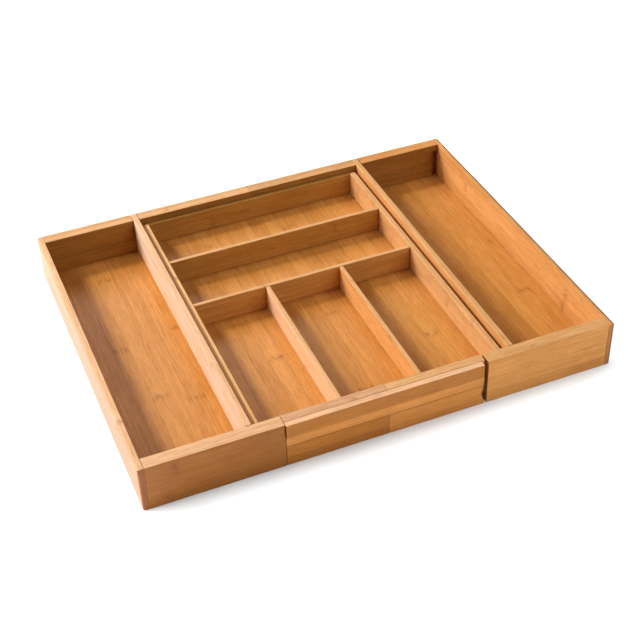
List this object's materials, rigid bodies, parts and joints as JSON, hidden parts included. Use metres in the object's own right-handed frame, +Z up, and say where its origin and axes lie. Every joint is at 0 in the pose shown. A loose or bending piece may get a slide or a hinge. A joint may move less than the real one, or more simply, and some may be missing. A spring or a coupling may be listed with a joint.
{
  "type": "expandable drawer organizer",
  "caption": "Expandable bamboo drawer organizer: a lift-out compartment tray in a centre frame, with a sliding wing on each side.",
  "frame": {"origin": "middle of the outline at the level it rests on, with both wings where they stand at rest", "axes": "+X along the rails towards the right wing, +Y from the front towards the rear, +Z up"},
  "size_m": [0.568, 0.4524, 0.06],
  "materials": {
    "bamboo_peach": "satin clear lacquer on bamboo",
    "bamboo_gold": "satin clear lacquer on bamboo",
    "bamboo_tan": "satin clear lacquer on bamboo",
    "bamboo_brown": "satin clear lacquer on bamboo"
  },
  "bodies": {
    "centre_frame": {"front_half_rail_left": "bamboo_gold", "front_stop_block_left": "bamboo_brown", "front_lower_strip_left": "bamboo_brown", "front_half_rail_right": "bamboo_gold", "front_stop_block_right": "bamboo_brown", "front_lower_strip_right": "bamboo_brown", "front_spline_strip": "bamboo_gold", "rear_half_rail_left": "bamboo_gold", "rear_stop_block_left": "bamboo_brown", "rear_lower_strip_left": "bamboo_brown", "rear_half_rail_right": "bamboo_gold", "rear_stop_block_right": "bamboo_brown", "rear_lower_strip_right": "bamboo_brown", "rear_spline_strip": "bamboo_gold", "front_upper_strip": "bamboo_brown", "rear_upper_strip_left": "bamboo_brown", "rear_upper_strip_right": "bamboo_brown", "left_partition": "bamboo_peach", "right_partition": "bamboo_peach", "centre_base_panel": "bamboo_tan"},
    "tray": {"tray_base": "bamboo_tan", "tray_front_wall": "bamboo_gold", "tray_rear_wall": "bamboo_brown", "tray_left_wall": "bamboo_peach", "tray_right_wall": "bamboo_peach", "long_divider_front": "bamboo_gold", "long_divider_rear": "bamboo_gold", "short_divider_left": "bamboo_peach", "short_divider_right": "bamboo_peach"},
    "left_wing": {"left_end_wall": "bamboo_peach", "left_front_board": "bamboo_gold", "left_rear_board": "bamboo_gold", "left_front_tongue": "bamboo_brown", "left_rear_tongue": "bamboo_brown", "left_base_panel": "bamboo_tan"},
    "right_wing": {"right_end_wall": "bamboo_peach", "right_front_board": "bamboo_gold", "right_rear_board": "bamboo_gold", "right_front_tongue": "bamboo_brown", "right_rear_tongue": "bamboo_brown", "right_base_panel": "bamboo_tan"}
  },
  "joints": [
    {"name": "left_wing_slide", "type": "slide", "parent": "centre_frame", "child": "left_wing", "axis": [-1, 0, 0], "range_m": [0, 0.075]},
    {"name": "right_wing_slide", "type": "slide", "parent": "centre_frame", "child": "right_wing", "axis": [1, 0, 0], "range_m": [0, 0.075]},
    {"name": "tray_lift", "type": "slide", "parent": "centre_frame", "child": "tray", "axis": [0, 0, 1], "range_m": [0, 0.09]}
  ]
}
